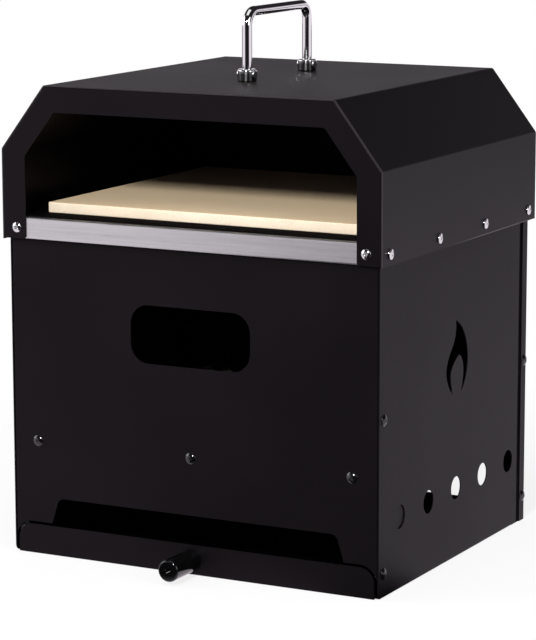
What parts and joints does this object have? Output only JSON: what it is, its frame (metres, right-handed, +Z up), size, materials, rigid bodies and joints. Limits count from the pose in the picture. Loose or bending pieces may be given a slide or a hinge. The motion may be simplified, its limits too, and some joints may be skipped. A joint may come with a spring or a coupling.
{
  "type": "portable pizza oven",
  "caption": "Portable solid-fuel pizza oven: folded black firebox with vents, window and ash drawer, under a lift-off hood with an open mouth, a stone and a chrome carrying handle.",
  "frame": {"origin": "on the ground under the middle of the whole oven's outline, knob and screw heads included", "axes": "+Z up, the mouth, window and drawer knob face -Y, +X to the right as seen from the front"},
  "size_m": [0.36, 0.353, 0.4689],
  "materials": {
    "black_panels": "satin heat-resistant black powder coat",
    "hood_black": "satin heat-resistant black powder coat",
    "tray_black": "black enamel",
    "stainless_strip": "brushed along its length",
    "galvanised": "plain zinc",
    "chrome_handle": "polished chrome",
    "black_screws": "gloss black",
    "silver_screws": "bright zinc or stainless",
    "nuts": "plain zinc",
    "grate_wire": "chromed wire",
    "knob_black": "gloss black phenolic",
    "stone": "matte cordierite, fine grained"
  },
  "bodies": {
    "firebox": {"front_panel": "black_panels", "rear_panel": "black_panels", "left_panel": "black_panels", "right_panel": "black_panels", "front_grate_rail": "galvanised", "rear_grate_rail": "galvanised", "rail_screws": "black_screws", "rail_nuts": "nuts", "corner_screws": "black_screws", "corner_nuts": "nuts"},
    "ash_drawer": {"ash_pan": "black_panels", "drawer_knob": "knob_black", "knob_screw": "nuts"},
    "grate": {"charcoal_grate": "grate_wire"},
    "hood": {"hood_shell": "hood_black", "hood_front_frame": "hood_black", "hood_rear_panel": "hood_black", "front_strip": "stainless_strip", "rear_rail": "hood_black", "left_rail": "galvanised", "right_rail": "galvanised", "side_screws": "silver_screws", "side_nuts": "nuts", "end_screws": "silver_screws", "end_nuts": "nuts", "stone_tray": "tray_black", "handle_rod": "chrome_handle", "front_handle_foot": "chrome_handle", "rear_handle_foot": "chrome_handle", "handle_pins": "chrome_handle", "handle_screws": "nuts"},
    "stone": {"pizza_stone": "stone"}
  },
  "joints": [
    {"name": "hood_lift", "type": "slide", "parent": "firebox", "child": "hood", "axis": [0, 0, 1], "range_m": [0, 0.15]},
    {"name": "drawer_slide", "type": "slide", "parent": "firebox", "child": "ash_drawer", "axis": [0, -1, 0], "range_m": [0, 0.26]},
    {"name": "grate_lift", "type": "slide", "parent": "firebox", "child": "grate", "axis": [0, 0, 1], "range_m": [0, 0.14]},
    {"name": "stone_slide", "type": "slide", "parent": "hood", "child": "stone", "axis": [0, -1, 0], "range_m": [0, 0.2]}
  ]
}
